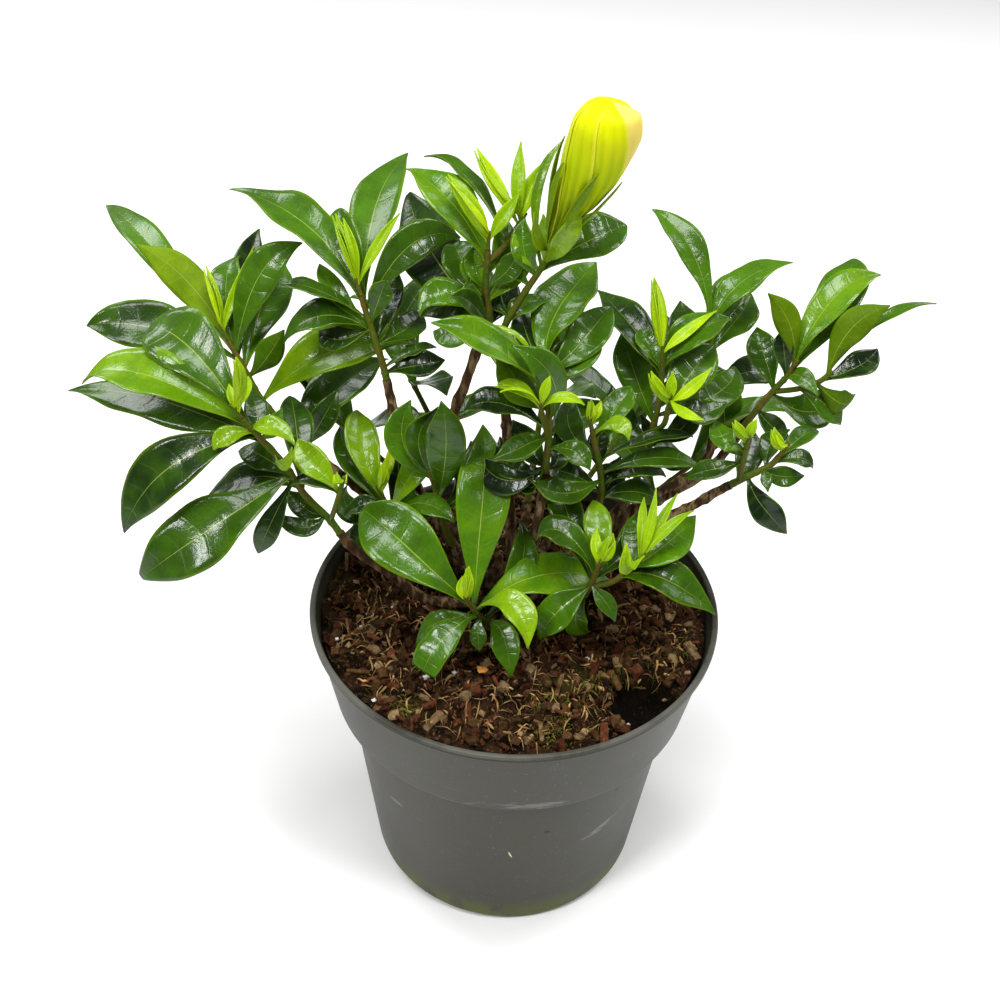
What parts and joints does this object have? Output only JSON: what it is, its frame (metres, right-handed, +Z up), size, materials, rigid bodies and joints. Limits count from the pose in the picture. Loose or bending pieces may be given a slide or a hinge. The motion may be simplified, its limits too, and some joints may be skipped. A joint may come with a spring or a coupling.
{
  "type": "potted gardenia",
  "caption": "Bushy glossy-leaved gardenia shrub with one pale flower bud, growing in a round tapered nursery pot.",
  "frame": {"origin": "middle of the pot's base, on the ground it stands on", "axes": "+Z up; -Y is the front of the plant as it is shown, +X to its right"},
  "size_m": [0.3465, 0.2152, 0.3537],
  "materials": {
    "pot_plastic": "satin moulded plastic, lightly scuffed",
    "potting_soil": "damp bark-based potting mix, rough",
    "bark": "dull ridged bark",
    "leaf": "glossy, waxy, with a paler midrib",
    "young_leaf": "satin, fresh yellow-green",
    "sepal": "satin green",
    "petal": "soft, silky, greenish yellow"
  },
  "bodies": {
    "root": {"pot": "pot_plastic", "soil": "potting_soil", "woody_stems": "bark", "back_far_left_leaves": "leaf", "back_far_right_leaves": "leaf", "back_left_leaves": "leaf", "back_middle_leaves": "leaf", "back_middle_left_leaves": "leaf", "back_middle_right_leaves": "leaf", "centre_leaves": "leaf", "centre_left_leaves": "leaf", "centre_low_leaves": "leaf", "centre_right_leaves": "leaf", "far_right_leaves": "leaf", "flower_shoot_leaves": "leaf", "front_leaves": "leaf", "front_left_leaves": "leaf", "front_right_leaves": "leaf", "lower_right_leaves": "leaf", "right_leaves": "leaf", "top_centre_leaves": "leaf", "upper_left_leaves": "leaf", "upper_right_leaves": "leaf", "back_left_growth": "young_leaf", "centre_growth": "young_leaf", "centre_left_growth": "young_leaf", "centre_right_growth": "young_leaf", "front_growth": "young_leaf", "front_left_growth": "young_leaf", "front_right_growth": "young_leaf", "front_right_side_growth": "young_leaf", "low_left_growth": "young_leaf", "lower_right_growth": "young_leaf", "lower_right_side_growth": "young_leaf", "right_growth": "young_leaf", "right_side_growth": "young_leaf", "top_growth": "young_leaf", "top_side_growth": "young_leaf", "upper_left_growth": "young_leaf", "flower_calyx": "sepal", "flower_bud": "petal"}
  },
  "joints": []
}
